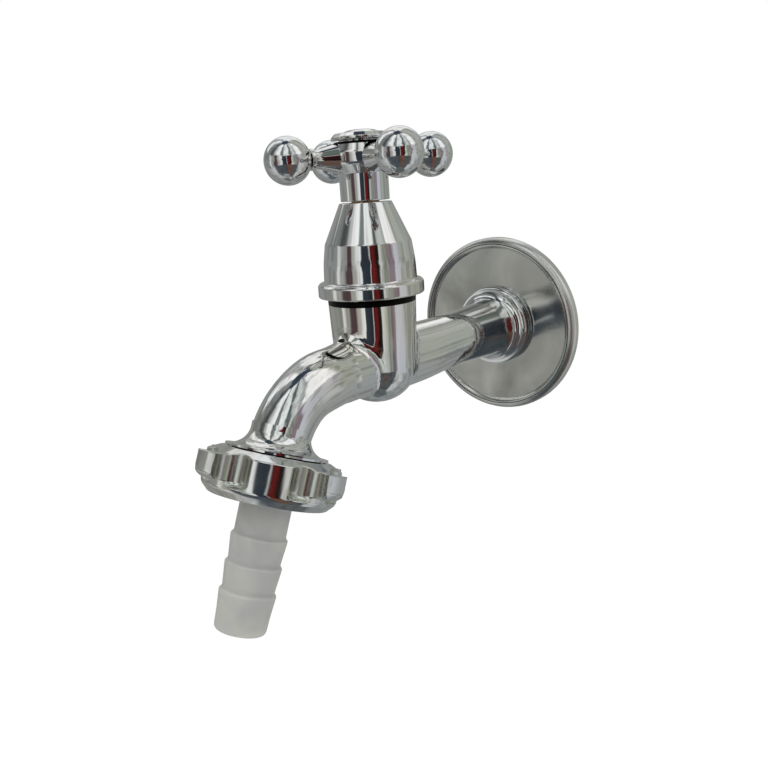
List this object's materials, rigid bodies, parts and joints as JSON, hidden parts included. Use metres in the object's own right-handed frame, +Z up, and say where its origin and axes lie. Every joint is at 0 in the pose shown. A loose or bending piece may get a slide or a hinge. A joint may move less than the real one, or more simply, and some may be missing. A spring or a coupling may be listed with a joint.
{
  "type": "garden tap",
  "caption": "Wall-mounted garden tap with a ball-ended cross handle on a rising spindle, a bowed spout and a lugged hose union with a barbed tail.",
  "frame": {"origin": "on the inlet axis, in the plane of the wall that the flange rests on", "axes": "+Y runs into the wall along the inlet axis, the spout points to -Y, +Z is up along the spindle"},
  "size_m": [0.0627, 0.1501, 0.1276],
  "materials": {
    "plated_cast_brass": "bright chrome plate over cast brass",
    "turned_brass": "turned brass, unplated",
    "red_fibre": "pressed fibre",
    "black_rubber": "moulded rubber",
    "white_packing": "moulded packing ring",
    "plated_turned_brass": "bright chrome plate over turned brass",
    "zinc_plated_steel": "zinc plated",
    "plated_cap": "bright chrome plate over pressed brass",
    "polished_stainless": "polished stainless steel sheet",
    "milky_plastic": "moulded, milky and slightly clear",
    "plated_forged_nut": "bright chrome plate over forged brass"
  },
  "bodies": {
    "tap_body": {"body": "plated_cast_brass", "valve_seat": "turned_brass", "headwork_body": "turned_brass", "headwork_gasket": "red_fibre", "cover_oring": "black_rubber", "packing_washer": "turned_brass", "gland_packing": "white_packing", "gland_nut": "turned_brass", "bonnet_cover": "plated_turned_brass"},
    "jumper": {"jumper_valve": "turned_brass", "jumper_washer": "black_rubber", "washer_nut": "turned_brass"},
    "handle": {"spindle": "turned_brass", "handle_cross": "plated_cast_brass", "handle_ball_1": "plated_turned_brass", "handle_ball_2": "plated_turned_brass", "handle_ball_3": "plated_turned_brass", "handle_ball_4": "plated_turned_brass", "handle_screw": "zinc_plated_steel", "screw_washer": "zinc_plated_steel", "handle_cap": "plated_cap"},
    "flange": {"wall_flange": "polished_stainless"},
    "tail": {"hose_barb": "milky_plastic", "barb_gasket": "black_rubber"},
    "coupling_nut": {"union_nut": "plated_forged_nut"}
  },
  "joints": [
    {"name": "valve_lift", "type": "slide", "parent": "tap_body", "child": "jumper", "axis": [0, 0, 1], "range_m": [0, 0.005]},
    {"name": "handle_turn", "type": "hinge", "parent": "jumper", "child": "handle", "pos_m": [0, -0.07, 0.0596], "axis": [0, 0, 1], "range_deg": [0, 720]},
    {"name": "flange_turn", "type": "hinge", "parent": "tap_body", "child": "flange", "pos_m": [0, -0.002, 0], "axis": [0, 1, 0], "continuous": true},
    {"name": "tail_drop", "type": "slide", "parent": "tap_body", "child": "tail", "axis": [0, -0.4019, -0.9157], "range_m": [0, 0.00771]},
    {"name": "nut_turn", "type": "hinge", "parent": "tail", "child": "coupling_nut", "pos_m": [0, -0.11515, -0.02154], "axis": [0, -0.4019, -0.9157], "range_deg": [0, 1530]}
  ],
  "couplings": [
    {"joint": "valve_lift", "follows": "handle_turn", "m_per_rad": 0.00039789},
    {"joint": "tail_drop", "follows": "nut_turn", "m_per_rad": 0.00028871}
  ]
}
